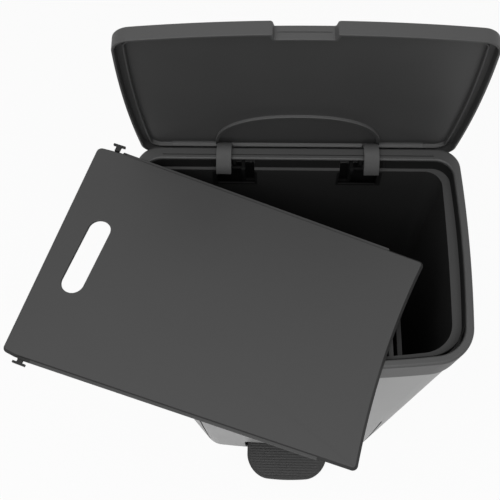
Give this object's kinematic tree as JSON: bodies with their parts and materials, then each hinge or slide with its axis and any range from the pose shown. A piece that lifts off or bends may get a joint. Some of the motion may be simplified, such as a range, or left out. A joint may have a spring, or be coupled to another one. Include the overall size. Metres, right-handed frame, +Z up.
{
  "type": "pedal bin",
  "caption": "Tapering waste bin with a black rim collar, a lid on goose-neck hinge arms lifted by a foot pedal, and a loose board with a hand slot across its rim.",
  "frame": {"origin": "on the floor under the middle of the rim's plan, in the underside of the base tray", "axes": "+Z up, +Y towards the hinge at the back, +X to the right seen from the pedal"},
  "size_m": [0.5068, 0.3992, 0.8809],
  "materials": {
    "silver": "metallic-look moulded plastic",
    "rim_black": "fine satin grain",
    "liner_black": "satin",
    "lid_black": "fine satin grain",
    "arm_black": "satin",
    "pedal_black": "ribbed",
    "board_black": "fine satin grain",
    "bracket_black": "satin",
    "steel": "drawn steel"
  },
  "bodies": {
    "bin": {"body_shell": "silver", "top_collar": "rim_black", "inner_liner": "liner_black", "base_tray": "liner_black", "rod_guide_lower": "bracket_black", "rod_guide_upper": "bracket_black", "pedal_pivot_pin": "steel", "hinge_bracket_left": "bracket_black", "hinge_bracket_right": "bracket_black", "pedal_bracket_left": "bracket_black", "pedal_bracket_right": "bracket_black"},
    "lid": {"lid_shell": "lid_black", "lid_hinge_plate": "arm_black", "hinge_pin_left": "steel", "hinge_pin_right": "steel", "link_pin_left": "steel", "link_pin_right": "steel"},
    "rod": {"push_rod": "steel", "rod_foot": "bracket_black"},
    "pedal": {"pedal_lever": "pedal_black", "pedal_pad": "pedal_black"},
    "board": {"divider_panel": "board_black", "divider_clip_rear": "board_black", "divider_clip_front": "board_black"}
  },
  "joints": [
    {"name": "lid_hinge", "type": "hinge", "parent": "bin", "child": "lid", "pos_m": [0, 0.1206, 0.6201], "axis": [1, 0, 0], "range_deg": [0, 81]},
    {"name": "pedal_hinge", "type": "hinge", "parent": "bin", "child": "pedal", "pos_m": [0, 0.046, 0.038], "axis": [1, 0, 0], "range_deg": [-9.68, 0]},
    {"name": "rod_slide", "type": "slide", "parent": "bin", "child": "rod", "axis": [0, 0, 1], "range_m": [-0.01219, 0]},
    {"name": "board_lift_off", "type": "slide", "parent": "bin", "child": "board", "axis": [0, -0.9397, 0.342], "range_m": [0, 0.3962]}
  ],
  "couplings": [
    {"joint": "pedal_hinge", "follows": "lid_hinge", "ratio": -0.11926},
    {"joint": "rod_slide", "follows": "lid_hinge", "m_per_rad": -0.008609},
    {"joint": "board_lift_off", "follows": "lid_hinge", "m_per_rad": 0.28011}
  ]
}
